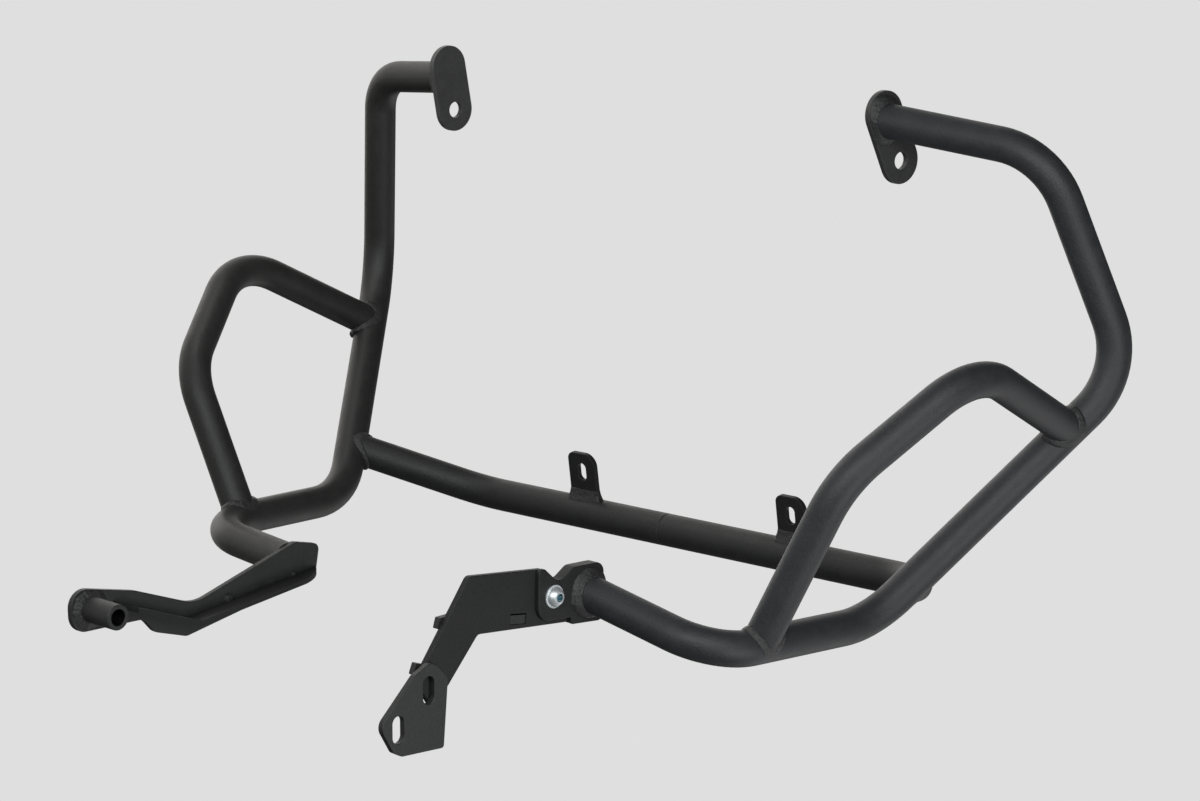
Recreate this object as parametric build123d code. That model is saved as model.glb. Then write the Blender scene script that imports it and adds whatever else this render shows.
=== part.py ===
from build123d import *
import os
from math import cos, sin, radians

os.makedirs("parts", exist_ok=True)

# ---------------------------------------------------------------- driving dimensions (mm)
TUBE_OD = 22.0          # main tubes
BRANCH_OD = 21.8        # hoops and cross tube, a hair under the main tube so that each cope seats
WALL = 2.0              # tube wall
PLATE_T = 4.0           # flat plates
LOBE_T = 8.0            # thick lobe of the right end bracket
EAR_T = 3.0             # its bolt ear
RIB_DEPTH = 14.0        # how far the left bracket's stiffening strip stands off the web
WELD = 3.0              # weld leg
CROSS_WELD = 3.6        # larger weld collar at the cross tube
EDGE = 0.5              # broken edges of the plates

TOP_HOLE = 5.5          # upper bolt holes
TOP_LOBE_R = 14.8       # half width of the right upper plate
TOP_LOBE_L = 14.8       # half width of the left upper plate

BUSH_OD = 16.0
BUSH_BORE = 10.0
BUSH_LEN = 28.0

TAB_W = 23.2            # cross tabs
TAB_T = 3.6
TAB_LEAN = 8.5          # degrees that the tabs lean back from upright, about the cross tube's axis
TAB_SLOT_W = 7.0
TAB_SLOT_L = 12.2
# for each tab: place along X, height of its top and of its slot's centre over the cross tube's axis
TAB_LEFT = (-70.6, 43.4, 30.3)
TAB_RIGHT = (108.8, 41.8, 28.9)
TAB_WELD = 4.6

SLOT_W = 8.5            # slots of the right mounting plate
SLOT_L = 16.5

BOLT_D = 8.0
BOLT_HEAD_D = 14.0
BOLT_HEAD_H = 5.2
BOLT_FLANGE = 0.9
BOLT_DOME_D = 12.1
BOLT_CLEAR = 8.6
HEX_SOCKET = 4.5

SPIGOT_LEN = 80.0
SPIGOT_FIT = 0.10       # radial play of the spigot in the sliding half

# Bend radii of the tube centre lines
CLR_MAIN_R = [49, 51, 50, 38]
CLR_MAIN_L = [31, 53, 60, 62]
CLR_HOOP_R = [48, 60]
CLR_HOOP_L = [53, 53]
CLR_CROSS_R = 45
CLR_CROSS_L = 60

# The seam of the cross tube, in the part's frame: X across the bike, Y forward, Z up
SEAM = (2.04, 172.95, -132.196)


def pt(x, y, z):
    return Vector(x + SEAM[0], y + SEAM[1], z + SEAM[2])


# Corner points of the tube centre lines, measured from the seam
RV = [pt(171.5, 5.58, 288.96), pt(280.9, 23.5, 276.7), pt(318.8, 61.2, 141.5),
      pt(226.8, -75.6, -6.7), pt(222.5, -217.8, 2.4), pt(134.35, -229.75, 26.68)]
LV = [pt(-218.8, 21.4, 282.4), pt(-297.3, 34.3, 275.4), pt(-320.7, 53.8, 128.2),
      pt(-227.7, -77.9, 0.5), pt(-217.3, -217.1, 7.0), pt(-112.2, -238.8, 5.7)]
RH = [pt(297.4, 29.4, 107.0), pt(309.7, -84.5, 164.9), pt(271.4, -164.2, 104.5), pt(223.6, -180.7, 0.0)]
LH = [pt(-299.5, 23.7, 99.0), pt(-317.5, -90.5, 159.4), pt(-274.3, -174.5, 99.0), pt(-220.0, -179.9, 5.2)]
RC = [pt(239.7, -56.4, 14.05), pt(208.5, 0, 0), pt(0, 0, 0)]
LC = [pt(-247.8, -49.4, 28.2), pt(-166.9, 0, 0), pt(0, 0, 0)]

# Origins of the right upper and lower plates; the tube's ends lie in their planes, a little aside
TOP_R_AT = pt(171.8, 11.76, 286.9)
LOW_R_AT = pt(134.01, -234.52, 29.0)

# Planes of the plates, turned a little about Z from straight across: local x runs forward,
# local y up, and the normal points to +X
TURN_TOP_R, TURN_TOP_L, TURN_LOW = 8.0, 6.0, 4.0


def plate_plane(origin, turn):
    a = radians(turn)
    return Plane(origin=origin, x_dir=(sin(a), cos(a), 0), z_dir=(cos(a), -sin(a), 0))


# ---------------------------------------------------------------- helpers
def path_of(points, radii):
    return FilletPolyline(*points, radius=radii)


def rod(path, r):
    start = Plane(origin=path @ 0, z_dir=path % 0)
    return sweep(start * Circle(r), path=path)


def extended(points, by):
    """The same line, with its first end drawn out by a little."""
    d = (points[0] - points[1]).normalized()
    return [points[0] + d * by] + list(points[1:])


def extended_both(points, by):
    first = extended(points, by)
    d = (points[-1] - points[-2]).normalized()
    return first[:-1] + [points[-1] + d * by]


def slab(plane, n0, n1, size=160):
    """A thick block over the plane, from n0 to n1 along its normal."""
    return extrude(plane.offset(n0) * Rectangle(size, size), n1 - n0)


def outline(plane, corners, n0, n1):
    """Flat plate with rounded corners: corners are (x, y, radius)."""
    pts = [(c[0], c[1]) for c in corners]
    face = make_face(FilletPolyline(*pts, radius=[c[2] for c in corners], close=True))
    return extrude(plane.offset(n0) * face, n1 - n0)


def one(shape):
    """The largest solid of a result."""
    return max(shape.solids(), key=lambda s: s.volume)


def broken_edges(plate, plane, n0, n1, amount=EDGE):
    """Break the edges around both faces of a flat plate."""
    f = plate.edges().filter_by(lambda e: abs(plane.to_local_coords(e.center()).Z - n0) < 1e-3
                                or abs(plane.to_local_coords(e.center()).Z - n1) < 1e-3)
    try:
        return fillet(f, amount)
    except Exception:
        return plate


parts = {}

# ---------------------------------------------------------------- planes
top_r = plate_plane(TOP_R_AT, TURN_TOP_R)
top_l = plate_plane(LV[0], TURN_TOP_L)
low_r = plate_plane(LOW_R_AT, TURN_LOW)
low_l = plate_plane(LV[5], TURN_LOW)

RO = TUBE_OD / 2
RI = RO - WALL
BO = BRANCH_OD / 2
BI = BO - WALL

# ---------------------------------------------------------------- main tubes
r_path = path_of(extended_both(RV, 14), CLR_MAIN_R)
l_path = path_of(extended_both(LV, 14), CLR_MAIN_L)
r_outer, l_outer = rod(r_path, RO), rod(l_path, RO)

# Tube ends lie flat on the plates: right plates meet the tube with their outer face,
# left plates with their back face
r_ends = [slab(top_r, -60, 0), slab(low_r, -60, 0)]
l_ends = [slab(top_l, -PLATE_T, 60), slab(low_l, -PLATE_T, 60)]

right_main = r_outer - rod(r_path, RI)
for b in r_ends:
    right_main = right_main - b
left_main = l_outer - rod(l_path, RI)
for b in l_ends:
    left_main = left_main - b
parts["right_main_tube"] = one(right_main)
parts["left_main_tube"] = one(left_main)

# ---------------------------------------------------------------- hoops, coped to the main tubes at both ends
for side, pts, radii, main in (("right", RH, CLR_HOOP_R, r_outer), ("left", LH, CLR_HOOP_L, l_outer)):
    p = path_of(pts, radii)
    parts[side + "_hoop_tube"] = one(rod(p, BO) - rod(p, BI) - main)

# ---------------------------------------------------------------- cross tube halves, butting at the seam
for side, pts, clr, main in (("right", RC, CLR_CROSS_R, r_outer), ("left", LC, CLR_CROSS_L, l_outer)):
    p = path_of(pts, [clr])
    half = rod(p, BO) - rod(p, BI) - main
    half = Part() + one(half)
    seam_edges = half.edges().filter_by(lambda e: abs(e.center().X - SEAM[0]) < 1e-3 and abs(e.radius - BO) < 1e-3
                                        if e.geom_type == GeomType.CIRCLE else False)
    half = chamfer(seam_edges, 0.6)
    parts[side + "_cross_tube"] = one(half)

# Sleeve that lines up the two halves: pressed into the left half, sliding in the right
seam_plane = Plane(origin=pt(0, 0, 0), x_dir=(0, 1, 0), z_dir=(1, 0, 0))
spigot = extrude(seam_plane.offset(-SPIGOT_LEN / 2) * Circle(BI), SPIGOT_LEN / 2)
spigot = spigot + extrude(seam_plane * Circle(BI - SPIGOT_FIT), SPIGOT_LEN / 2)
spigot = spigot - extrude(seam_plane.offset(-SPIGOT_LEN / 2) * Circle(BI - 3.0), SPIGOT_LEN)
parts["cross_joint_spigot"] = one(spigot)

# ---------------------------------------------------------------- upper plates
def oblong(upper, lower, lobe):
    d = Vector(lower[0] - upper[0], lower[1] - upper[1])
    mid = ((upper[0] + lower[0]) / 2, (upper[1] + lower[1]) / 2)
    ang = Vector(1, 0).get_signed_angle(d, Vector(0, 0, 1))
    return Pos(mid[0], mid[1]) * Rot(0, 0, ang) * SlotCenterToCenter(d.length, 2 * lobe)


def top_plate(plane, upper, lower, lobe, hole_r):
    face = oblong(upper, lower, lobe) - Pos(lower[0], lower[1]) * Circle(hole_r)
    plate = extrude(plane.offset(-PLATE_T) * face, PLATE_T)
    return one(broken_edges(plate, plane, -PLATE_T, 0))


TOP_FACE_R = oblong((-5.2, 5.8), (8.8, -24.6), TOP_LOBE_R - EDGE)
parts["right_top_plate"] = top_plate(top_r, (-5.2, 5.8), (8.8, -24.6), TOP_LOBE_R, TOP_HOLE)
parts["left_top_plate"] = top_plate(top_l, (1.2, 7.0), (6.8, -23.2), TOP_LOBE_L, TOP_HOLE)

# ---------------------------------------------------------------- slotted tabs on the cross tube
lean = radians(TAB_LEAN)
for side, (x, h, slot_at) in (("left", TAB_LEFT), ("right", TAB_RIGHT)):
    tab_plane = Plane(origin=pt(x, 0, 0), x_dir=(1, 0, 0), z_dir=(0, -cos(lean), -sin(lean)))
    half, t = TAB_W / 2, TAB_T / 2
    corners = [(-half, 4, 0.6), (half, 4, 0.6), (half, h, 9.0), (-half, h, 5.0)]
    tab = outline(tab_plane, corners, -t, t)
    slot = extrude(tab_plane.offset(-TAB_T) * (Pos(0, slot_at) * Rot(0, 0, 90) * SlotOverall(TAB_SLOT_L, TAB_SLOT_W)),
                   2 * TAB_T)
    tube = extrude(Plane(origin=pt(x - 40, 0, 0), x_dir=(0, 1, 0), z_dir=(1, 0, 0)) * Circle(BO), 80)
    tab = tab - slot
    tab = broken_edges(tab, tab_plane, -t, t, 0.4)
    parts[side + "_cross_tab"] = one(tab - tube)
    # fillet welds along both faces of the tab
    fat_tube = extrude(Plane(origin=pt(x - half + 1, 0, 0), x_dir=(0, 1, 0), z_dir=(1, 0, 0)) * Circle(BO + TAB_WELD),
                       TAB_W - 2)
    fat_tab = outline(tab_plane, [(-half + 1, 2, 0.5), (half - 1, 2, 0.5), (half - 1, 30, 0.5),
                                  (-half + 1, 30, 0.5)], -t - WELD, t + WELD)
    plain = outline(tab_plane, [(-TAB_W, 2, 0.5), (TAB_W, 2, 0.5), (TAB_W, 40, 0.5), (-TAB_W, 40, 0.5)], -t, t)
    beads = (fat_tube & fat_tab) - plain - tube
    parts[side + "_tab_welds"] = Compound(children=[s for s in beads.solids() if s.volume > 5])

# ---------------------------------------------------------------- left lower bracket: cut web, strip and bush
web = outline(low_l, [(4.2, 11.8, 4), (24.2, 7.2, 4.5), (20.5, -13.0, 2), (-84.8, -33.0, 8),
                      (-109.7, -25.5, 9), (-118.5, -15.6, 8), (-172.4, -14.8, 11), (-173.2, 14.4, 11),
                      (-124.0, 3.8, 30), (-78.0, -13.0, 28)], -PLATE_T, 0)
parts["left_lower_bracket"] = one(broken_edges(web, low_l, -PLATE_T, 0))

# stiffening strip on the web's face, bent to the web's line
rib = outline(low_l, [(20.4, -6.75, 0.3), (-84.0, -20.5, 10.0), (-140.5, 0.3, 0.3), (-141.5, -2.7, 0.3),
                      (-84.4, -23.8, 13.0), (20.4, -10.0, 0.3)], 0, RIB_DEPTH)
# the strip's front end is rounded off, its other end runs out at a slant
plan = Plane(origin=low_l.from_local_coords(Vector(0, -40, 0)), x_dir=low_l.x_dir, z_dir=(0, 0, 1))
cut_a = extrude(plan * make_face(ThreePointArc((20.6, 0.4), (13.8, -8.2), (0.5, -14.1)) + Line((0.5, -14.1), (0.5, -16))
                                 + Line((0.5, -16), (40, -16)) + Line((40, -16), (40, 0.4)) + Line((40, 0.4), (20.6, 0.4))), 80)
cut_b = extrude(plan * make_face(Polyline((-142.5, 0.4), (-131.0, -16), (-170, -16), (-170, 0.4), close=True)), 80)
rib = rib - cut_a - cut_b
parts["left_bracket_rib"] = one(rib)

BUSH_AT = (-158.6, -1.2)
bush_plane = Plane(origin=low_l.from_local_coords(Vector(BUSH_AT[0], BUSH_AT[1], 0)), x_dir=low_l.x_dir, z_dir=low_l.z_dir)
bush = extrude(bush_plane * Circle(BUSH_OD / 2), BUSH_LEN) - extrude(bush_plane * Circle(BUSH_BORE / 2), BUSH_LEN)
bush = chamfer(bush.edges().filter_by(lambda e: abs(bush_plane.to_local_coords(e.center()).Z - BUSH_LEN) < 1e-3), 0.5)
parts["left_spacer_bush"] = one(bush)
bead = Cone(BUSH_OD / 2 + WELD, BUSH_OD / 2, WELD, align=(Align.CENTER, Align.CENTER, Align.MIN))
bead = bush_plane * bead
bead = bead - extrude(bush_plane * Circle(BUSH_OD / 2), 20) - rib
parts["left_bush_weld"] = one(bead)
# the bolt passes right through the web
hole = extrude(bush_plane.offset(-10) * Circle(BUSH_BORE / 2), 20)
parts["left_lower_bracket"] = one(Part() + parts["left_lower_bracket"] - hole)

# ---------------------------------------------------------------- right end bracket, adapter, stiffener, mounting plate
EAR = [(-36.7, 19.4, 3.6), (-31.4, 18.8, 3.0), (-19.85, 8.2, 7.2), (-7.9, 15.9, 7.0), (17.0, 15.0, 6.5),
       (17.0, -12.0, 6.0), (14.5, -21.0, 3.0), (-9.9, -19.0, 2.0), (-10.6, -14.6, 1.2), (-37.5, -12.5, 9.5)]
ear = outline(low_r, EAR, -EAR_T, 0)
lobe = outline(low_r, [(-19.6, 9.9, 0.3), (-16.4, 10.45, 3.0), (-7.9, 15.9, 7.0), (17.0, 15.0, 6.5), (17.0, -12.0, 6.0), (14.5, -21.0, 3.0),
                       (-9.9, -19.0, 2.0), (-9.6, -15.2, 0.5), (-9.6, -0.6, 2.0), (-17.2, 7.2, 1.0)], -LOBE_T, -EAR_T)
BOLT_AT = (-24.7, 1.1)
bolt_hole = extrude(low_r.offset(-20) * (Pos(*BOLT_AT) * Circle(BOLT_CLEAR / 2)), 30)
ear = broken_edges(ear, low_r, 0, 0, 0.8)
end_bracket = ear + lobe - bolt_hole
parts["right_end_bracket"] = one(end_bracket)

ADP_F, ADP_B = -EAR_T, -EAR_T - PLATE_T      # front and back of the adapter plate
adapter = outline(low_r, [(-89.4, 24.6, 4), (-31.0, 18.4, 3), (-18.2, 6.4, 3), (-10.4, -1.4, 3), (-10.4, -17.8, 2),
                          (-82.8, -11.4, 4), (-118.0, -50.0, 5), (-131.0, -30.0, 4)], ADP_B, ADP_F)
adapter = broken_edges(adapter, low_r, ADP_B, ADP_F, 0.6)
tab_hole = extrude(low_r.offset(ADP_B - 1) * (Pos(-51.0, -8.2) * Rot(0, 0, -8) * Rectangle(13.0, 6.6)), PLATE_T + 2)
adapter = adapter - bolt_hole - tab_hole
parts["right_adapter_plate"] = one(adapter)

# Narrow plate behind the adapter, with a tab through its window and two ends that show past its edge
stiff = outline(low_r, [(-40.0, 3.0, 2), (-40.0, -12.6, 2), (-76.0, -8.6, 3), (-110.0, -44.0, 2), (-125.0, -32.0, 2),
                        (-124.0, -29.0, 1), (-130.0, -27.0, 0.8), (-127.2, -20.4, 0.8), (-119.5, -23.0, 1.2),
                        (-105.6, -5.0, 1.2), (-111.0, -3.4, 0.8), (-109.0, 2.8, 0.8), (-96.0, 3.0, 2)],
                ADP_B - PLATE_T, ADP_B)
lug = extrude(low_r.offset(ADP_B - 0.5) * (Pos(-51.0, -8.6) * Rot(0, 0, -8) * Rectangle(12.2, 5.2)), PLATE_T + 0.1)
parts["right_adapter_stiffener"] = one(stiff + lug)

MNT_B, MNT_F = ADP_F, ADP_F + PLATE_T
mount = outline(low_r, [(-122.0, -18.4, 7), (-110.0, -30.6, 4), (-113.7, -72.2, 2), (-146.0, -70.6, 5),
                        (-152.6, -67.0, 4), (-162.6, -50.0, 7), (-135.8, -24.8, 5)], MNT_B, MNT_F)
for c in ((-125.1, -35.4), (-148.6, -54.2)):
    mount = mount - extrude(low_r.offset(MNT_B - 1) * (Pos(*c) * Rot(0, 0, 90) * SlotOverall(SLOT_L, SLOT_W)), PLATE_T + 2)
parts["right_mount_plate"] = one(broken_edges(mount, low_r, MNT_B, MNT_F, 0.6))

# Bolt through the ear and the adapter, with its washer and nut behind
bp = Plane(origin=low_r.from_local_coords(Vector(BOLT_AT[0], BOLT_AT[1], 0)), x_dir=low_r.x_dir, z_dir=low_r.z_dir)
prof = make_face(Line((0, 0), (BOLT_HEAD_D / 2, 0)) + Line((BOLT_HEAD_D / 2, 0), (BOLT_HEAD_D / 2, BOLT_FLANGE))
                 + Line((BOLT_HEAD_D / 2, BOLT_FLANGE), (BOLT_DOME_D / 2, BOLT_FLANGE))
                 + ThreePointArc((BOLT_DOME_D / 2, BOLT_FLANGE), (5.0, 3.7), (3.3, BOLT_HEAD_H))
                 + Line((3.3, BOLT_HEAD_H), (0, BOLT_HEAD_H)) + Line((0, BOLT_HEAD_H), (0, 0)))
head = revolve(Plane.XZ * prof, Axis.Z)
head = head - extrude(Plane.XY.offset(BOLT_HEAD_H - 2.4) * RegularPolygon(HEX_SOCKET / 2, 6, major_radius=False), 4)
bolt = head + Pos(0, 0, -20) * Cylinder(BOLT_D / 2 - 0.05, 20, align=(Align.CENTER, Align.CENTER, Align.MIN))
parts["adapter_bolt"] = one(bp * bolt)
washer = Pos(0, 0, ADP_B - 1.6) * (Cylinder(8, 1.6, align=(Align.CENTER, Align.CENTER, Align.MIN))
                                         - Cylinder(4.2, 1.6, align=(Align.CENTER, Align.CENTER, Align.MIN)))
parts["adapter_washer"] = one(bp * washer)
nut_face = RegularPolygon(6.5, 6, major_radius=False) - Circle(BOLT_D / 2)
nut = Pos(0, 0, ADP_B - 1.6 - 6.5) * extrude(nut_face, 6.5)
parts["adapter_nut"] = one(bp * nut)

# ---------------------------------------------------------------- welds
def saddle_bead(main_path, main, pts, at_start, clr, joint_dir, leg):
    """Bead around a branch tube where it lands on the main tube, on the branch's side of it."""
    p = path_of(pts, clr)
    j = pts[0] if at_start else pts[-1]
    toward = (pts[1] - pts[0]) if at_start else (pts[-2] - pts[-1])
    along = joint_dir.normalized()
    up = (toward - along * toward.dot(along)).normalized()
    near = extrude(Plane(origin=j, z_dir=up) * Rectangle(90, 90), 60)
    ring = (rod(main_path, RO + leg) & rod(p, BO + leg) & near) - main - rod(p, BO)
    return one(ring)


for side, mv, hp, clr, main, path in (("right", RV, RH, CLR_HOOP_R, r_outer, r_path),
                                      ("left", LV, LH, CLR_HOOP_L, l_outer, l_path)):
    parts[side + "_hoop_upper_weld"] = saddle_bead(path, main, hp, True, clr, mv[3] - mv[2], WELD)
    parts[side + "_hoop_lower_weld"] = saddle_bead(path, main, hp, False, clr, mv[4] - mv[3], WELD)
for side, mv, cp, clr, main, path in (("right", RV, RC, CLR_CROSS_R, r_outer, r_path),
                                      ("left", LV, LC, CLR_CROSS_L, l_outer, l_path)):
    parts[side + "_cross_weld"] = saddle_bead(path, main, cp, True, [clr], mv[3] - mv[2], CROSS_WELD)


def end_weld(fat_path, r, plane, n0, n1, *cuts):
    bead = rod(fat_path, r) & slab(plane, n0, n1)
    for c in cuts:
        bead = bead - c
    return one(bead)


# the right ends' beads are wide, and stop at the plates' edges
top_edge = extrude(top_r * TOP_FACE_R, 10)
end_edge = outline(low_r, EAR, 0, 10)
parts["right_top_weld"] = one((rod(r_path, RO + 4.4) & top_edge & slab(top_r, 0, 4.4)) - r_outer)
parts["left_top_weld"] = end_weld(l_path, RO + 2.6, top_l, -PLATE_T - 3.0, -PLATE_T, l_outer)
parts["right_end_weld"] = one((rod(r_path, RO + 4.4) & end_edge & slab(low_r, 0, 4.4)) - r_outer)
parts["left_end_weld"] = end_weld(l_path, RO + WELD, low_l, -PLATE_T - WELD, -PLATE_T, l_outer)

# ---------------------------------------------------------------- files
for name, shape in parts.items():
    shape.label = name
    export_step(shape, "parts/" + name + ".step")
box = Compound(children=list(parts.values())).bounding_box()
print("box", box.min, box.max, "centre", box.center())
print(len(parts), "nodes")
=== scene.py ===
import bpy
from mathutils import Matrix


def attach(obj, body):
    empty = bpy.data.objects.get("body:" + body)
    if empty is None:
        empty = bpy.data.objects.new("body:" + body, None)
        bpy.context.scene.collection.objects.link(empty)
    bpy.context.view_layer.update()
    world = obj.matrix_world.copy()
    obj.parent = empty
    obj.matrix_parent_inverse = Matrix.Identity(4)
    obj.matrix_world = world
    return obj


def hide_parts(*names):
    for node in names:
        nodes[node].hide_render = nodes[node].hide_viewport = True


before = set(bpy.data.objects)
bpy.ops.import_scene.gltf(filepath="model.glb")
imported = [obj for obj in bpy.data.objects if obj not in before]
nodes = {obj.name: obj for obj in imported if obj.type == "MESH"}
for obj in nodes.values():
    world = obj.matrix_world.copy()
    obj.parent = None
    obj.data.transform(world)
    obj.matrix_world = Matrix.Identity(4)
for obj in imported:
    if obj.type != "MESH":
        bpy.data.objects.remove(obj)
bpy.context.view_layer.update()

import bpy
import math
import numpy as np
from mathutils import Matrix, Vector

scene = bpy.context.scene

# ---------------------------------------------------------------- the bars' lines, in mm
SEAM = np.array([2.04, 172.95, -132.196])
TUBE_R, BRANCH_R, PLATE_T, EAR_T = 11.0, 10.9, 4.0, 3.0


def pts(*rows):
    return [np.array(r, float) + SEAM for r in rows]


RV = pts((171.5, 5.58, 288.96), (280.9, 23.5, 276.7), (318.8, 61.2, 141.5),
         (226.8, -75.6, -6.7), (222.5, -217.8, 2.4), (134.35, -229.75, 26.68))
LV = pts((-218.8, 21.4, 282.4), (-297.3, 34.3, 275.4), (-320.7, 53.8, 128.2),
         (-227.7, -77.9, 0.5), (-217.3, -217.1, 7.0), (-112.2, -238.8, 5.7))
RH = pts((297.4, 29.4, 107.0), (309.7, -84.5, 164.9), (271.4, -164.2, 104.5), (223.6, -180.7, 0.0))
LH = pts((-299.5, 23.7, 99.0), (-317.5, -90.5, 159.4), (-274.3, -174.5, 99.0), (-220.0, -179.9, 5.2))
RC = pts((239.7, -56.4, 14.05), (208.5, 0, 0), (0, 0, 0))
LC = pts((-247.8, -49.4, 28.2), (-166.9, 0, 0), (0, 0, 0))
CLR_MAIN_R, CLR_MAIN_L = [49, 51, 50, 38], [31, 53, 60, 62]


def unit(v):
    return v / np.linalg.norm(v)


def drawn_out(points, by):
    a = points[0] + unit(points[0] - points[1]) * by
    b = points[-1] + unit(points[-1] - points[-2]) * by
    return [a] + list(points[1:-1]) + [b]


def bent_line(points, radii, step=0.25):
    """Dense points along straight runs joined by tangent arcs."""
    out = []
    here = points[0]
    for i in range(1, len(points) - 1):
        p, a, b = points[i], unit(points[i - 1] - points[i]), unit(points[i + 1] - points[i])
        turn = math.pi - math.acos(float(np.clip(a @ b, -1, 1)))
        t = radii[i - 1] * math.tan(turn / 2)
        s, e = p + a * t, p + b * t
        n = max(2, int(np.linalg.norm(s - here) / step))
        out += [here + (s - here) * k / n for k in range(n)]
        centre = p + unit(a + b) * (radii[i - 1] / math.cos(turn / 2))
        x = unit(s - centre)
        y = unit(-a - x * (-a @ x))
        n = max(2, int(radii[i - 1] * turn / step))
        out += [centre + radii[i - 1] * (x * math.cos(turn * k / n) + y * math.sin(turn * k / n)) for k in range(n)]
        here = e
    n = max(2, int(np.linalg.norm(points[-1] - here) / step))
    out += [here + (points[-1] - here) * k / n for k in range(n + 1)]
    return np.array(out)


R_LINE = bent_line(drawn_out(RV, 14), CLR_MAIN_R)
L_LINE = bent_line(drawn_out(LV, 14), CLR_MAIN_L)


def nearest(line, q):
    """The nearest point of a dense line to each row of q."""
    d = ((q[:, None, :] - line[None, :, :]) ** 2).sum(2)
    return line[d.argmin(1)]


def plate_frame(origin, turn):
    a = math.radians(turn)
    return origin, np.array([math.sin(a), math.cos(a), 0.0]), np.array([0.0, 0.0, 1.0]), np.array([math.cos(a), -math.sin(a), 0.0])


TOP_R, TOP_L = plate_frame(pts((171.8, 11.76, 286.9))[0], 8.0), plate_frame(LV[0], 6.0)
LOW_R, LOW_L = plate_frame(pts((134.01, -234.52, 29.0))[0], 4.0), plate_frame(LV[5], 4.0)


def on_plate(fr, x, y, n):
    return fr[0] + fr[1] * x + fr[2] * y + fr[3] * n


# ---------------------------------------------------------------- mesh helpers
def mesh_piece(name, verts_mm, faces, smooth=True):
    m = bpy.data.meshes.new(name)
    m.from_pydata([tuple(v) for v in np.asarray(verts_mm) / 1000.0], [], faces)
    m.update()
    if smooth:
        m.polygons.foreach_set("use_smooth", [True] * len(m.polygons))
    o = bpy.data.objects.new(name, m)
    scene.collection.objects.link(o)
    return o


def ring_faces(n, k):
    """Quads of a closed ring of n sections with k points each, section loops closed too."""
    out = []
    for i in range(n):
        j = (i + 1) % n
        for a in range(k):
            b = (a + 1) % k
            out.append((i * k + a, i * k + b, j * k + b, j * k + a))
    return out


def wave(rng, n, low, high, terms=6):
    """Smooth noise around a closed loop of n samples, about -1 to 1."""
    t = np.arange(n) / n * 2 * np.pi
    y = np.zeros(n)
    for _ in range(terms):
        y += rng.uniform(0.5, 1.0) * np.cos(rng.integers(low, high + 1) * t + rng.uniform(0, 2 * np.pi))
    return y / (0.55 * terms)


def blurred(x, width):
    """Running mean around a closed loop."""
    w = np.hanning(2 * width + 3)[1:-1]
    w /= w.sum()
    y = np.asarray(x, float).reshape(len(x), -1)
    y = np.vstack([y[-width:], y, y[:width]])
    y = np.stack([np.convolve(y[:, i], w, "valid") for i in range(y.shape[1])], 1)
    return y.reshape(np.shape(x))


def bead_skin(name, root, toe_a, toe_b, nrm, seed, pitch=2.4, ripple=0.06, crown=0.45, fill=0.60, streak=0.03, lump=0.35, knob=0.14, fade=1.0):
    """Weld bead around a closed seam, from one toe line over the seam to the other. nrm points outward
    between the joined surfaces. It carries uneven lumps, faint crescents and faint lines along its run."""
    rng = np.random.default_rng(seed)
    n = len(root)
    seg = np.linalg.norm(np.roll(root, -1, 0) - root, axis=1)
    run = np.concatenate([[0], np.cumsum(seg)[:-1]])
    count = max(6, int(round(seg.sum() / pitch)))
    phase = run / seg.sum() * count + 0.45 * wave(rng, n, 2, 12)
    swell = np.clip(0.6 + 0.5 * wave(rng, n, 3, 9), 0.1, 1.3)
    va, vb = toe_a - root, toe_b - root
    la, lb = np.linalg.norm(va, axis=1), np.linalg.norm(vb, axis=1)
    flat = np.clip((-(va * vb).sum(1) / np.maximum(la * lb, 1e-6) - 0.15) / 0.75, 0, 1)
    h = crown * (1 - 0.55 * flat) * (1 + lump * wave(rng, n, 3, 10) + knob * wave(rng, n, 10, 24))
    lines = [wave(rng, n, 2, 8) for _ in range(3)]
    k = 15
    ctrl = root + (va + vb) * fill
    rows = []
    for j in range(k):
        q = j / (k - 1)
        pnt = (1 - q) ** 2 * toe_a + 2 * q * (1 - q) * ctrl + q ** 2 * toe_b
        arch = math.sin(math.pi * q)
        # crescents: the crest runs ahead in the middle of the bead
        ph = phase + 0.7 * (1 - (2 * q - 1) ** 2)
        crest = np.abs(np.sin(np.pi * ph))
        lift = arch ** 0.7 * (h + ripple * 2 * swell * (crest - 0.6)) - 0.10 * (1 - arch) ** 3
        for i, w in enumerate(lines):
            lift += streak * arch * np.sin(2 * np.pi * q * (2 + i) + 2.0 * w)
        lift = lift * fade - 0.3 * (1 - fade)
        rows.append(pnt + nrm * lift[:, None])
    rows.append(root - nrm * 0.6)
    v = np.stack(rows, 1)
    return mesh_piece(name, v.reshape(-1, 3), ring_faces(n, k + 1))


def bead_ring(name, root, up, out, nrm, leg_up, leg_out, seed, limit=None, uneven=0.14, fade=1.0, **kw):
    """The same, from the directions up and out along the two surfaces and the bead's legs."""
    rng = np.random.default_rng(seed + 500)
    n = len(root)
    a = leg_up * (1 + uneven * wave(rng, n, 2, 8) + 0.4 * uneven * wave(rng, n, 9, 26))
    b = leg_out * (1 + uneven * wave(rng, n, 2, 8) + 0.4 * uneven * wave(rng, n, 9, 26))
    if limit is not None:
        b = np.minimum(b, limit)
    a, b = a * (0.02 + 0.98 * fade), b * (0.02 + 0.98 * fade)
    return bead_skin(name, root, root + up * a[:, None], root + out * b[:, None], nrm, seed, fade=fade, **kw)


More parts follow.
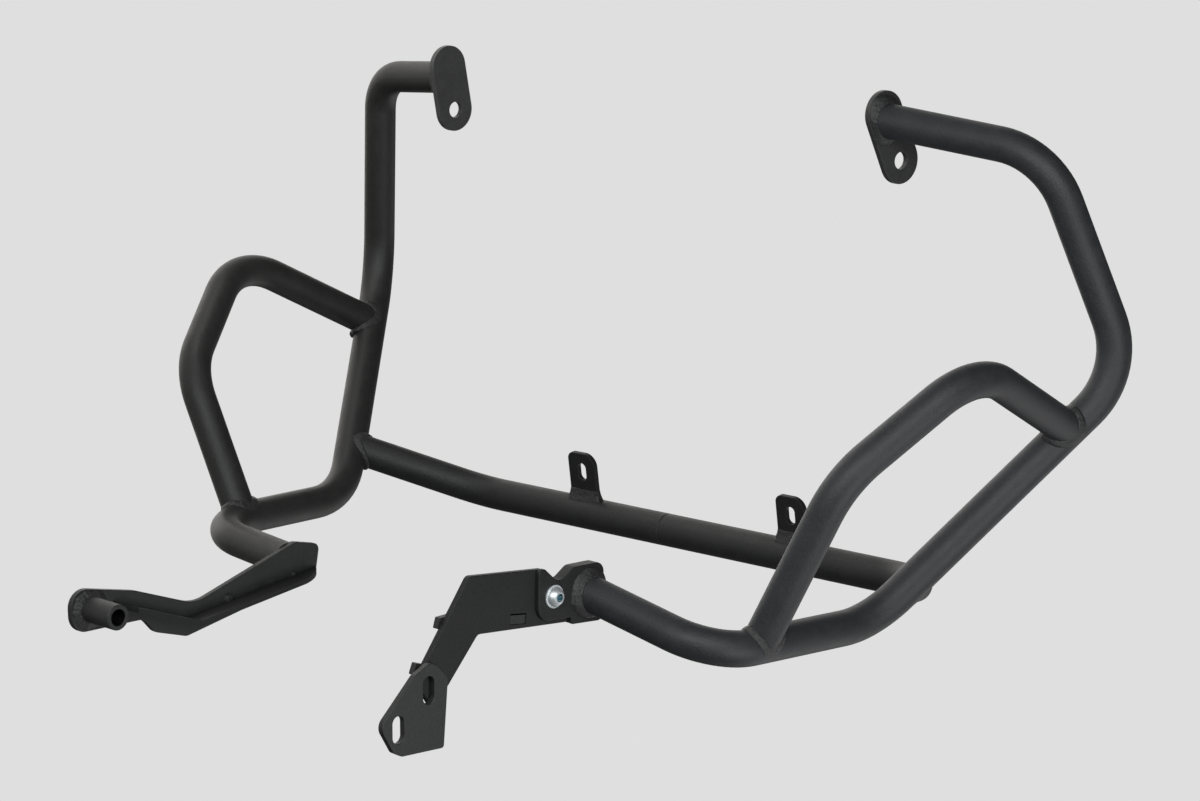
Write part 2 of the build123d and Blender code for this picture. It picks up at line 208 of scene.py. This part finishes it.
def seam_dirs(root, up_hint, out_hint, n_up, n_out):
    """Directions along the two surfaces, square to the seam. n_up and n_out are the surfaces' normals."""
    tau = np.roll(root, -1, 0) - np.roll(root, 1, 0)
    tau /= np.linalg.norm(tau, axis=1, keepdims=True)
    up = np.cross(n_up, tau)
    up *= np.sign((up * up_hint).sum(1))[:, None]
    out = np.cross(n_out, tau)
    out *= np.sign((out * out_hint).sum(1))[:, None]
    up /= np.linalg.norm(up, axis=1, keepdims=True)
    out /= np.linalg.norm(out, axis=1, keepdims=True)
    mid = n_up + n_out
    mid /= np.linalg.norm(mid, axis=1, keepdims=True)
    return up, out, mid


def even_loop(root, n):
    """The same closed loop with n points at equal spacing."""
    seg = np.linalg.norm(np.roll(root, -1, 0) - root, axis=1)
    at = np.concatenate([[0], np.cumsum(seg)])
    closed = np.vstack([root, root[:1]])
    want = np.linspace(0, at[-1], n, endpoint=False)
    return np.stack([np.interp(want, at, closed[:, i]) for i in range(3)], 1)


def saddle_bead(name, line, joint, toward, leg_b, leg_m, seed, n=420, uneven=0.14, even=44, **kw):
    """Bead where a branch tube lands on a main tube."""
    rng = np.random.default_rng(seed + 500)
    d = unit(toward - joint)
    near = line[np.linalg.norm(line - joint, axis=1) < 60]
    along = unit(near[-1] - near[0])
    e1 = unit(along - d * (along @ d))
    e2 = np.cross(d, e1)
    phi = np.arange(n) / n * 2 * np.pi
    u = np.cos(phi)[:, None] * e1 + np.sin(phi)[:, None] * e2
    ts = np.arange(-4.0, 46.0, 0.1)
    t = np.zeros(n)
    for i in range(n):
        q = joint + u[i] * BRANCH_R + ts[:, None] * d
        gap = np.linalg.norm(q - nearest(near, q), axis=1) - TUBE_R
        inside = np.where(gap < 0)[0]
        if len(inside) == 0 or inside[-1] >= len(ts) - 1:
            t[i] = ts[gap.argmin()]
            continue
        k = inside[-1]
        t[i] = ts[k] + 0.1 * gap[k] / (gap[k] - gap[k + 1])
    root = joint + u * BRANCH_R + t[:, None] * d
    leg_b = leg_b * (1 + uneven * wave(rng, n, 2, 8) + 0.4 * uneven * wave(rng, n, 9, 26))
    leg_m = leg_m * (1 + uneven * wave(rng, n, 2, 8) + 0.4 * uneven * wave(rng, n, 9, 26))
    # the toe on the branch follows the seam with its tight ends rounded
    high = np.maximum(blurred(t, even), t - 1.5)
    toe_b = joint + u * BRANCH_R + (high + leg_b)[:, None] * d
    nm = root - nearest(near, root)
    nm /= np.linalg.norm(nm, axis=1, keepdims=True)
    up, out, mid = seam_dirs(root, np.tile(d, (n, 1)), u - d, u, nm)
    pull = blurred(np.linalg.norm(root - blurred(root, 50), axis=1), 20)
    toe_m = blurred(root + blurred(out, 10) * (leg_m + 1.5 * pull)[:, None], 50)
    c = nearest(near, toe_m)
    v = toe_m - c
    toe_m = c + v / np.linalg.norm(v, axis=1, keepdims=True) * TUBE_R
    mid = blurred(mid, 6)
    mid /= np.linalg.norm(mid, axis=1, keepdims=True)
    return bead_skin(name, root, toe_b, toe_m, mid, seed, **kw)


def edge_room(fr, outline, root, out):
    """How far a bead can run over a plate before its edge, for each point of the seam."""
    o = np.array(outline, float)
    a, b = o, np.roll(o, -1, 0)
    room = np.full(len(root), 99.0)
    for i in range(len(root)):
        p = np.array([(root[i] - fr[0]) @ fr[1], (root[i] - fr[0]) @ fr[2]])
        v = np.array([out[i] @ fr[1], out[i] @ fr[2]])
        e = b - a
        den = v[0] * e[:, 1] - v[1] * e[:, 0]
        w = a - p
        with np.errstate(divide="ignore", invalid="ignore"):
            t = (w[:, 0] * e[:, 1] - w[:, 1] * e[:, 0]) / den
            s = (w[:, 0] * v[1] - w[:, 1] * v[0]) / den
        hit = t[(np.abs(den) > 1e-9) & (s >= 0) & (s <= 1) & (t > 0)]
        if len(hit):
            room[i] = hit.min()
        else:
            room[i] = 0.0
    return room


def plate_bead(name, fr, level, side, axis_at, axis_dir, leg_t, leg_p, seed, outline=None, n=420, **kw):
    """Bead where a tube ends on a plate. level: height of the plate's face along its normal;
    side: +1 or -1, which way the tube leaves the face; axis_at, axis_dir: the tube's line."""
    nz = fr[3] * side
    d = unit(axis_dir)
    d = d if d @ nz > 0 else -d
    face_pt = on_plate(fr, 0, 0, level)
    axis_pt = axis_at + d * (((face_pt - axis_at) @ nz) / (d @ nz))
    e1 = unit(fr[1] - d * (fr[1] @ d))
    e2 = np.cross(d, e1)
    phi = np.arange(240) / 240 * 2 * np.pi
    u = np.cos(phi)[:, None] * e1 + np.sin(phi)[:, None] * e2
    start = axis_pt + u * TUBE_R
    root = start + d * (((face_pt - start) @ nz) / (d @ nz))[:, None]
    root = even_loop(root, n)
    rel = root - axis_pt
    nb = rel - (rel @ d)[:, None] * d
    nb /= np.linalg.norm(nb, axis=1, keepdims=True)
    nm = np.tile(nz, (n, 1))
    up, out, mid = seam_dirs(root, np.tile(d, (n, 1)), nb, nb, nm)
    limit, fade = None, np.ones(n)
    if outline is not None:
        room = edge_room(fr, outline, root, out)
        limit = np.maximum(room - 0.25, 0.35)
        fade = np.clip(blurred(np.clip((room - 0.2) / 0.8, 0, 1), 6), 0, 1)
    return bead_ring(name, root, up, out, mid, leg_t, leg_p, seed, limit=limit, fade=fade, **kw)


def slot_outline(upper, lower, r, n=40):
    a, b = np.array(upper, float), np.array(lower, float)
    d = unit(b - a)
    q = np.array([-d[1], d[0]])
    out = []
    for c, s in ((b, 1), (a, -1)):
        for k in range(n + 1):
            t = math.pi * k / n - math.pi / 2
            out.append(c + r * (math.cos(t) * d * s + math.sin(t) * q * s))
    return out


# ---------------------------------------------------------------- materials
def new_material(name):
    m = bpy.data.materials.new(name)
    m.use_nodes = True
    t = m.node_tree
    for x in list(t.nodes):
        t.nodes.remove(x)
    out = t.nodes.new("ShaderNodeOutputMaterial")
    b = t.nodes.new("ShaderNodeBsdfPrincipled")
    t.links.new(b.outputs["BSDF"], out.inputs["Surface"])
    return m, t, b


def noise(t, coord, scale, detail, rough=0.5):
    x = t.nodes.new("ShaderNodeTexNoise")
    x.inputs["Scale"].default_value = scale
    x.inputs["Detail"].default_value = detail
    x.inputs["Roughness"].default_value = rough
    t.links.new(coord, x.inputs["Vector"])
    return x.outputs["Fac"]


def spread(t, value, lo, hi, to_lo, to_hi):
    x = t.nodes.new("ShaderNodeMapRange")
    x.inputs["From Min"].default_value = lo
    x.inputs["From Max"].default_value = hi
    x.inputs["To Min"].default_value = to_lo
    x.inputs["To Max"].default_value = to_hi
    t.links.new(value, x.inputs["Value"])
    return x.outputs["Result"]


def mixed(t, fac, a, b):
    x = t.nodes.new("ShaderNodeMix")
    x.data_type = "RGBA"
    x.inputs["A"].default_value = (*a, 1)
    x.inputs["B"].default_value = (*b, 1)
    t.links.new(fac, x.inputs["Factor"])
    return x.outputs["Result"]


def bumped(t, b, layers):
    """Stack of bump layers: (height socket, strength, distance in metres)."""
    prev = None
    for h, s, d in layers:
        x = t.nodes.new("ShaderNodeBump")
        x.inputs["Strength"].default_value = s
        x.inputs["Distance"].default_value = d
        t.links.new(h, x.inputs["Height"])
        if prev is not None:
            t.links.new(prev, x.inputs["Normal"])
        prev = x.outputs["Normal"]
    t.links.new(prev, b.inputs["Normal"])


def off_axis(t, c, at, along):
    """Distance of each point from an axis."""
    away = t.nodes.new("ShaderNodeVectorMath")
    away.operation = "SUBTRACT"
    away.inputs[1].default_value = tuple(at)
    t.links.new(c, away.inputs[0])
    across = t.nodes.new("ShaderNodeVectorMath")
    across.operation = "CROSS_PRODUCT"
    across.inputs[1].default_value = tuple(along)
    t.links.new(away.outputs[0], across.inputs[0])
    dist = t.nodes.new("ShaderNodeVectorMath")
    dist.operation = "LENGTH"
    t.links.new(across.outputs[0], dist.inputs[0])
    return dist.outputs["Value"]


def coat(name, dark, light, rough, grain=0.9, peel=0.5, spec=0.5, bore_shade=None, lumps=0.0):
    """Matte powder coat: fine grain, a faint orange peel and slow changes of tone. Optionally painted shade inside a
    bore, near black and dull.
    """
    m, t, b = new_material(name)
    c = t.nodes.new("ShaderNodeTexCoord").outputs["Object"]
    slow = noise(t, c, 16, 3)
    cloud = noise(t, c, 95, 4, 0.6)
    fine = noise(t, c, 900, 2, 0.65)
    orange = noise(t, c, 330, 2, 0.5)
    mix = t.nodes.new("ShaderNodeMath")
    mix.operation = "MULTIPLY_ADD"
    mix.inputs[1].default_value = 0.55
    t.links.new(slow, mix.inputs[0])
    t.links.new(spread(t, cloud, 0.25, 0.75, 0.0, 0.45), mix.inputs[2])
    grainy = t.nodes.new("ShaderNodeMath")
    grainy.operation = "ADD"
    t.links.new(mix.outputs[0], grainy.inputs[0])
    t.links.new(spread(t, fine, 0.3, 0.7, -0.26, 0.26), grainy.inputs[1])
    tone = spread(t, grainy.outputs[0], 0.15, 0.85, 0, 1)
    if bore_shade is None:
        t.links.new(mixed(t, tone, dark, light), b.inputs["Base Color"])
        b.inputs["Specular IOR Level"].default_value = spec
    else:
        # painted shade inside the bore: everything within a radius of an axis is made near black and dull
        at, along, radius = bore_shade
        keep = spread(t, off_axis(t, c, at, along), radius, radius + 0.0003, 0.0, 1.0)
        shade = t.nodes.new("ShaderNodeMix")
        shade.data_type = "RGBA"
        shade.inputs["A"].default_value = (0.004, 0.004, 0.004, 1)
        t.links.new(mixed(t, tone, dark, light), shade.inputs["B"])
        t.links.new(keep, shade.inputs["Factor"])
        t.links.new(shade.outputs["Result"], b.inputs["Base Color"])
        t.links.new(spread(t, keep, 0.0, 1.0, 0.05, spec), b.inputs["Specular IOR Level"])
    t.links.new(spread(t, cloud, 0.25, 0.75, rough - 0.05, rough + 0.06), b.inputs["Roughness"])
    layers = [(orange, peel, 0.00018), (fine, grain, 0.00022)]
    if lumps:
        layers.insert(0, (noise(t, c, 420, 3, 0.6), lumps, 0.0009))
    bumped(t, b, layers)
    return m


def zinc(name, at, along, radius):
    m, t, b = new_material(name)
    c = t.nodes.new("ShaderNodeTexCoord").outputs["Object"]
    cloud = noise(t, c, 260, 4, 0.6)
    fine = noise(t, c, 2400, 2)
    # painted shade in the hex socket: darker and a little blue
    shade = t.nodes.new("ShaderNodeMix")
    shade.data_type = "RGBA"
    shade.inputs["A"].default_value = (0.11, 0.22, 0.26, 1)
    t.links.new(mixed(t, spread(t, cloud, 0.3, 0.7, 0, 1), (0.66, 0.70, 0.72), (0.88, 0.92, 0.93)), shade.inputs["B"])
    t.links.new(spread(t, off_axis(t, c, at, along), radius, radius + 0.0002, 0.0, 1.0), shade.inputs["Factor"])
    t.links.new(shade.outputs["Result"], b.inputs["Base Color"])
    b.inputs["Metallic"].default_value = 0.72
    t.links.new(spread(t, cloud, 0.25, 0.75, 0.34, 0.46), b.inputs["Roughness"])
    bumped(t, b, [(fine, 0.25, 0.00005)])
    return m


def bare(name):
    m, t, b = new_material(name)
    c = t.nodes.new("ShaderNodeTexCoord").outputs["Object"]
    cloud = noise(t, c, 180, 4, 0.6)
    fine = noise(t, c, 1800, 2)
    t.links.new(mixed(t, spread(t, cloud, 0.3, 0.7, 0, 1), (0.30, 0.30, 0.31), (0.46, 0.46, 0.46)), b.inputs["Base Color"])
    b.inputs["Metallic"].default_value = 1.0
    t.links.new(spread(t, cloud, 0.25, 0.75, 0.35, 0.5), b.inputs["Roughness"])
    bumped(t, b, [(fine, 0.3, 0.00005)])
    return m


# One powder coat in lit and shaded copies, each matched to how the light falls on its tubes: the right tubes' copy
# carries painted light, the left tubes' is a darker copy with painted shade, and the cross tube's is the darkest, with
# painted shade.
TUBE_RIGHT_PAINTED_LIGHT = coat("coat_tube_right_painted_light", (0.020, 0.021, 0.0235), (0.033, 0.0345, 0.0375), 0.52)
TUBE_LEFT_PAINTED_SHADE = coat("coat_tube_left_painted_shade", (0.0152, 0.0149, 0.0145), (0.0257, 0.0250, 0.0242), 0.52)
TUBE_CROSS_PAINTED_SHADE = coat("coat_tube_cross_painted_shade", (0.0112, 0.0113, 0.0114), (0.0194, 0.0196, 0.0197), 0.55)
PLATE = coat("coat_plate", (0.0160, 0.0161, 0.0163), (0.0262, 0.0264, 0.0267), 0.52, grain=0.6, peel=0.35)
WELDED = coat("coat_weld", (0.0150, 0.0149, 0.0148), (0.0440, 0.0436, 0.0432), 0.52, grain=0.7, peel=0.9, lumps=0.85)
# The bush's bore gets painted shade, near black and dull.
BUSH = coat("coat_bush", (0.021, 0.0210, 0.0212), (0.035, 0.0347, 0.0345), 0.58, grain=0.4, peel=0.2,
            bore_shade=(on_plate(LOW_L, -158.6, -1.2, 0) / 1000.0, LOW_L[3], 0.0051))
# Lighter copies of the plate coat for the top plates: painted light, with the left top plate's the palest.
PLATE_TOP_PAINTED_LIGHT = coat("coat_plate_top_painted_light", (0.029, 0.0288, 0.0285), (0.046, 0.0457, 0.0453), 0.48, grain=0.6, peel=0.35)
PLATE_TOP_LEFT_PAINTED_LIGHT = coat("coat_plate_top_left_painted_light", (0.046, 0.0456, 0.0450), (0.069, 0.0685, 0.0678), 0.46, grain=0.6, peel=0.35)
# Darker, less shiny copy of the plate coat for the end bracket, adapter plate, tabs and rib: painted shade.
PLATE_PAINTED_SHADE = coat("coat_plate_painted_shade", (0.0105, 0.0106, 0.0107), (0.0172, 0.0173, 0.0175), 0.57, grain=0.6, peel=0.35, spec=0.36)
ZINC = zinc("zinc_plate", on_plate(LOW_R, -24.7, 1.1, 0) / 1000.0, LOW_R[3], 0.0024)
BARE = bare("drawn_steel")

for name, o in nodes.items():
    if name in ("adapter_bolt", "adapter_washer", "adapter_nut"):
        m = ZINC
    elif name == "cross_joint_spigot":
        m = BARE
    elif name == "left_spacer_bush":
        m = BUSH
    elif "weld" in name:
        m = WELDED
    # The right tubes take the copy with painted light; the left and cross tubes take the copies with painted shade.
    elif name.endswith("_tube"):
        m = TUBE_CROSS_PAINTED_SHADE if "cross" in name else TUBE_RIGHT_PAINTED_LIGHT if name.startswith("right") else TUBE_LEFT_PAINTED_SHADE
    # The top plates take the copies with painted light.
    elif name.endswith("_top_plate"):
        m = PLATE_TOP_PAINTED_LIGHT if name.startswith("right") else PLATE_TOP_LEFT_PAINTED_LIGHT
    # These plates take the darker copy with painted shade.
    elif name in ("right_end_bracket", "right_adapter_plate", "left_cross_tab", "right_cross_tab", "left_bracket_rib"):
        m = PLATE_PAINTED_SHADE
    else:
        m = PLATE
    o.data.materials.clear()
    o.data.materials.append(m)


def add(piece, material, slot, *replaced):
    piece.data.materials.append(material)
    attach(piece, "root")
    if replaced:
        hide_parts(*replaced)
    return piece


# ---------------------------------------------------------------- weld beads
JOINTS = (("right_hoop_upper", R_LINE, RH[0], RH[1], 3.4, 3.2, 11, {"crown": 0.45}),
          ("right_hoop_lower", R_LINE, RH[3], RH[2], 3.2, 3.0, 12, {"crown": 0.5, "lump": 0.45, "knob": 0.35}),
          ("right_cross", R_LINE, RC[0], RC[1], 3.0, 2.6, 13, {"crown": 0.25, "lump": 0.2}),
          ("left_hoop_upper", L_LINE, LH[0], LH[1], 3.2, 3.2, 41, {"crown": 0.8, "lump": 0.5, "knob": 0.55}),
          ("left_hoop_lower", L_LINE, LH[3], LH[2], 3.4, 3.4, 42, {"crown": 0.65, "lump": 0.5, "ripple": 0.10, "knob": 0.5}),
          ("left_cross", L_LINE, LC[0], LC[1], 4.6, 1.0, 43, {"crown": 0.9, "lump": 0.45, "even": 60}))
for joint, line, at, to, lb, lm, seed, kw in JOINTS:
    add(saddle_bead(joint + "_bead", line, at, to, lb, lm, seed, **kw), WELDED, "weld_coat", joint + "_weld")

top_r_edge = slot_outline((-5.2, 5.8), (8.8, -24.6), 14.8)
top_l_edge = slot_outline((1.2, 7.0), (6.8, -23.2), 14.8)
end_r_edge = [(-36.7, 19.4), (-31.4, 18.8), (-22.5, 10.6), (-19.9, 9.8), (-16.8, 10.2), (-10.0, 14.5), (-6.0, 15.7), (10.5, 15.2), (15.1, 13.2),
              (17.0, 8.5), (17.0, -12.0), (14.5, -21.0), (-9.9, -19.0), (-10.6, -14.6), (-37.5, -12.5)]
end_l_edge = [(4.2, 11.8), (24.2, 7.2), (20.5, -13.0), (-84.8, -33.0), (-78.0, -13.0)]
add(plate_bead("right_top_bead", TOP_R, 0.0, 1, RV[0], RV[1] - RV[0], 4.2, 4.8, 71, top_r_edge, crown=0.15, fill=0.50, ripple=0.012, streak=0.05),
    WELDED, "weld_coat", "right_top_weld")
add(plate_bead("left_top_bead", TOP_L, -PLATE_T, -1, LV[0], LV[1] - LV[0], 3.0, 3.0, 72, top_l_edge), WELDED, "weld_coat", "left_top_weld")
add(plate_bead("right_end_bead", LOW_R, 0.0, 1, RV[5], RV[4] - RV[5], 4.6, 4.4, 73, end_r_edge, crown=0.2, fill=0.52, ripple=0.012, streak=0.09),
    WELDED, "weld_coat", "right_end_weld")
add(plate_bead("left_end_bead", LOW_L, -PLATE_T, -1, LV[5], LV[4] - LV[5], 1.8, 1.8, 74, end_l_edge, crown=0.15, lump=0.2), WELDED, "weld_coat", "left_end_weld")

LEAN = math.radians(8.5)


def tab_bead(name, x, seed):
    """Bead around the foot of a tab that stands on the cross tube, leaning about the tube's axis."""
    hw, ht, r = 11.6, 1.8, 0.8
    loop = []
    for cx, cy, a0 in ((hw - r, ht - r, 0), (-hw + r, ht - r, 90), (-hw + r, -ht + r, 180), (hw - r, -ht + r, 270)):
        for k in range(13):
            t = math.radians(a0 + 90 * k / 12)
            loop.append((cx + r * math.cos(t), cy + r * math.sin(t)))
    loop = np.array(loop)
    root = np.stack([loop[:, 0] + x, loop[:, 1], np.sqrt(BRANCH_R ** 2 - loop[:, 1] ** 2)], 1)
    root = even_loop(root, 320)
    c = np.stack([np.clip(root[:, 0] - x, -hw + r, hw - r) + x, np.clip(root[:, 1], -ht + r, ht - r), root[:, 2]], 1)
    nb = root - c
    nb[:, 2] = 0
    nb /= np.linalg.norm(nb, axis=1, keepdims=True)
    nm = np.stack([np.zeros(len(root)), root[:, 1], root[:, 2]], 1)
    nm /= np.linalg.norm(nm, axis=1, keepdims=True)
    up, out, mid = seam_dirs(root, np.tile(np.array([0, 0, 1.0]), (len(root), 1)), nb, nb, nm)
    # the toe bends round the tube
    far = root + out * (2.9 - 0.9 * np.clip((root[:, :1] - x) / hw, -1, 1))
    flat = np.linalg.norm(far[:, 1:], axis=1, keepdims=True)
    far[:, 1:] *= BRANCH_R / flat
    turn = np.array([[1, 0, 0], [0, math.cos(LEAN), math.sin(LEAN)], [0, -math.sin(LEAN), math.cos(LEAN)]])
    toe_a = root + up * (7.2 + 0.4 * wave(np.random.default_rng(seed), len(root), 2, 7))[:, None]
    return bead_skin(name, root @ turn + SEAM, toe_a @ turn + SEAM, far @ turn + SEAM, mid @ turn, seed, pitch=2.0, ripple=0.05, crown=0.10,
                     fill=0.30, streak=0.05)


for side, x, seed in (("left", -70.6, 81), ("right", 108.8, 82)):
    add(tab_bead(side + "_tab_bead", x, seed), WELDED, "weld_coat", side + "_tab_welds")


def tack(name, x, y, seed, size):
    """Small tack weld in the corner between the left bracket's web and its strip."""
    rng = np.random.default_rng(seed)
    nu, nv = 28, 14
    v, f = [], []
    bumps = [(rng.normal(size=3), rng.uniform(2, 5), rng.uniform(0, 6.3)) for _ in range(5)]
    for i in range(nv + 1):
        for j in range(nu):
            th, ph = math.pi * i / nv, 2 * math.pi * j / nu
            q = np.array([math.sin(th) * math.cos(ph), math.sin(th) * math.sin(ph), math.cos(th)])
            r = 1 + 0.05 * sum(math.sin(w * (q @ k) + z) for k, w, z in bumps)
            v.append(on_plate(LOW_L, x + q[0] * size * 1.25 * r, y + q[1] * size * r, q[2] * size * 0.8 * r))
    for i in range(nv):
        for j in range(nu):
            f.append((i * nu + j, i * nu + (j + 1) % nu, (i + 1) * nu + (j + 1) % nu, (i + 1) * nu + j))
    return mesh_piece(name, v, f)


def blob(name, at, radii, seed):
    """Run of weld metal hanging off a joint."""
    rng = np.random.default_rng(seed)
    nu, nv = 28, 14
    v, f = [], []
    bumps = [(rng.normal(size=3), rng.uniform(2, 5), rng.uniform(0, 6.3)) for _ in range(5)]
    for i in range(nv + 1):
        for j in range(nu):
            th, ph = math.pi * i / nv, 2 * math.pi * j / nu
            q = np.array([math.sin(th) * math.cos(ph), math.sin(th) * math.sin(ph), math.cos(th)])
            r = 1 + 0.06 * sum(math.sin(w * (q @ k) + z) for k, w, z in bumps)
            v.append(at + q * np.array(radii) * r)
    for i in range(nv):
        for j in range(nu):
            f.append((i * nu + j, i * nu + (j + 1) % nu, (i + 1) * nu + (j + 1) % nu, (i + 1) * nu + j))
    return mesh_piece(name, v, f)


add(blob("left_hoop_run", pts((-302.4, 8.5, 92.9))[0], (2.6, 2.6, 3.0), 97), WELDED, "weld_coat")
add(tack("left_rib_tack_a", -51.5, -15.0, 95, 3.3), PLATE, "weld_coat")
# This tack takes the darker plate copy with painted shade.
add(tack("left_rib_tack_b", 2.2, -9.0, 96, 2.2), PLATE_PAINTED_SHADE, "weld_coat")


def bush_bead(name, seed):
    c = on_plate(LOW_L, -158.6, -1.2, 0)
    phi = np.arange(300) / 300 * 2 * np.pi
    nb = np.cos(phi)[:, None] * LOW_L[1] + np.sin(phi)[:, None] * LOW_L[2]
    root = c + nb * 8.0
    nm = np.tile(LOW_L[3], (len(root), 1))
    up, out, mid = seam_dirs(root, nm, nb, nb, nm)
    edge = [(-84.8, -33.0), (-109.7, -25.5), (-118.5, -15.6), (-166.0, -14.9), (-170.5, -12.5), (-172.6, -8.0), (-173.0, 7.0), (-170.0, 11.8),
            (-163.0, 12.2), (-124.0, 3.8), (-78.0, -13.0)]
    limit = np.maximum(edge_room(LOW_L, edge, root, out) - 0.6, 0.4)
    return bead_ring(name, root, up, out, mid, 2.6, 5.2, seed, limit=limit, uneven=0.10, crown=0.25, fill=0.45, lump=0.8, ripple=0.05)


add(bush_bead("left_bush_bead", 91), WELDED, "weld_coat", "left_bush_weld")

# ---------------------------------------------------------------- camera
YAW, PITCH, FOCAL_PX = math.radians(41.38354), math.radians(12.06176), 3703.418
fwd = Vector((-math.sin(YAW) * math.cos(PITCH), math.cos(YAW) * math.cos(PITCH), -math.sin(PITCH)))
right = Vector((math.cos(YAW), math.sin(YAW), 0))
up = right.cross(fwd)
eye = Vector((np.array([1548.189, -1824.993, 599.265]) + SEAM) / 1000.0)
cam = bpy.data.cameras.new("camera")
cam.sensor_fit = "HORIZONTAL"
cam.sensor_width = 36.0
cam.lens = FOCAL_PX * 36.0 / 1200.0
cam.clip_end = 100
cam_obj = bpy.data.objects.new("camera", cam)
cam_obj.matrix_world = Matrix(((right.x, up.x, -fwd.x, eye.x), (right.y, up.y, -fwd.y, eye.y),
                               (right.z, up.z, -fwd.z, eye.z), (0, 0, 0, 1)))
scene.collection.objects.link(cam_obj)
scene.camera = cam_obj

# ---------------------------------------------------------------- pale floor and backdrop
PALE = 0.7379


def stage_material(name):
    m = bpy.data.materials.new(name)
    m.use_nodes = True
    t = m.node_tree
    for x in list(t.nodes):
        t.nodes.remove(x)
    out = t.nodes.new("ShaderNodeOutputMaterial")
    e = t.nodes.new("ShaderNodeEmission")
    e.inputs["Color"].default_value = (PALE, PALE, PALE, 1)
    t.links.new(e.outputs[0], out.inputs["Surface"])
    return m


pale = stage_material("pale_stage")


def seen_only(o):
    o.visible_diffuse = False
    o.visible_glossy = False
    o.visible_transmission = False
    o.visible_volume_scatter = False
    o.visible_shadow = False


floor = mesh_piece("floor", [(-9000, -9000, -420), (9000, -9000, -420), (9000, 9000, -420), (-9000, 9000, -420)], [(0, 1, 2, 3)], False)
floor.data.materials.append(pale)
seen_only(floor)
n_lon, n_lat = 48, 24
sv, sf = [], []
for i in range(n_lat + 1):
    for j in range(n_lon):
        th, ph = math.pi * i / n_lat, 2 * math.pi * j / n_lon
        sv.append((12000 * math.sin(th) * math.cos(ph), 12000 * math.sin(th) * math.sin(ph), 12000 * math.cos(th)))
for i in range(n_lat):
    for j in range(n_lon):
        sf.append((i * n_lon + j, (i + 1) * n_lon + j, (i + 1) * n_lon + (j + 1) % n_lon, i * n_lon + (j + 1) % n_lon))
backdrop = mesh_piece("backdrop", sv, sf)
backdrop.data.materials.append(pale)
seen_only(backdrop)

# ---------------------------------------------------------------- soft studio light
scene.view_settings.view_transform = "Standard"
scene.view_settings.look = "None"
scene.view_settings.exposure = 0.0
scene.view_settings.gamma = 1.0


def toward(x, y, z):
    """A direction given as right, up and towards the camera."""
    return (right * x + up * y - fwd * z).normalized()


world = bpy.data.worlds.new("studio")
scene.world = world
world.use_nodes = True
wt = world.node_tree
for x in list(wt.nodes):
    wt.nodes.remove(x)
wout = wt.nodes.new("ShaderNodeOutputWorld")
direction = wt.nodes.new("ShaderNodeTexCoord").outputs["Generated"]
total = wt.nodes.new("ShaderNodeBackground")
total.inputs["Color"].default_value = (1, 1, 1, 1)
total.inputs["Strength"].default_value = 0.042
total = total.outputs[0]


def lobe(d, inner, outer, strength, colour=(1, 1, 1)):
    """A soft round panel of light in one direction of the studio; inner and outer are angles in degrees."""
    global total
    dot = wt.nodes.new("ShaderNodeVectorMath")
    dot.operation = "DOT_PRODUCT"
    dot.inputs[1].default_value = tuple(d)
    wt.links.new(direction, dot.inputs[0])
    ramp = wt.nodes.new("ShaderNodeMapRange")
    ramp.interpolation_type = "SMOOTHSTEP"
    ramp.inputs["From Min"].default_value = math.cos(math.radians(outer))
    ramp.inputs["From Max"].default_value = math.cos(math.radians(inner))
    ramp.inputs["To Min"].default_value = 0.0
    ramp.inputs["To Max"].default_value = strength
    wt.links.new(dot.outputs["Value"], ramp.inputs["Value"])
    bg = wt.nodes.new("ShaderNodeBackground")
    bg.inputs["Color"].default_value = (*colour, 1)
    wt.links.new(ramp.outputs["Result"], bg.inputs["Strength"])
    s = wt.nodes.new("ShaderNodeAddShader")
    wt.links.new(total, s.inputs[0])
    wt.links.new(bg.outputs[0], s.inputs[1])
    total = s.outputs[0]


lobe(toward(-0.32, 0.40, -0.86), 10, 48, 1.65, (1.0, 0.98, 0.95))
lobe(toward(-0.85, 0.50, 0.0), 10, 60, 0.5, (1.0, 0.99, 0.97))
lobe(toward(0.60, -0.50, -0.62), 6, 36, 0.85, (1.0, 0.99, 0.98))
lobe(toward(0.0, 0.30, 0.95), 4, 31, 0.72, (0.97, 0.99, 1.0))
lobe(toward(0.25, -0.80, -0.45), 10, 45, 0.17, (1.0, 0.99, 0.98))
wt.links.new(total, wout.inputs["Surface"])


def softbox(name, at, aim, size, watts, colour):
    a = bpy.data.lights.new(name, "AREA")
    a.shape = "RECTANGLE"
    a.size, a.size_y = size
    a.energy = watts
    a.color = colour
    o = bpy.data.objects.new(name, a)
    o.location = at
    o.rotation_mode = "QUATERNION"
    o.rotation_quaternion = (Vector(aim) - Vector(at)).to_track_quat("-Z", "Y")
    scene.collection.objects.link(o)
    return o


key_at = Vector((0.22, -0.05, -0.03)) + toward(-0.02, 0.30, 0.95) * 1.1
softbox("key", key_at, (0.18, -0.02, -0.02), (1.9, 0.66), 11.5, (0.96, 0.985, 1.0))
low_right = Vector((0.28, 0.0, 0.0))
softbox("low_right", low_right + toward(0.65, -0.55, 0.5) * 0.9, low_right, (0.55, 0.55), 3.4, (0.97, 0.99, 1.0))
top_left = Vector((-0.27, 0.20, 0.13))
softbox("top_left", top_left + toward(-0.45, 0.65, 0.60) * 0.30, top_left, (0.16, 0.16), 0.42, (1.0, 0.99, 0.98))
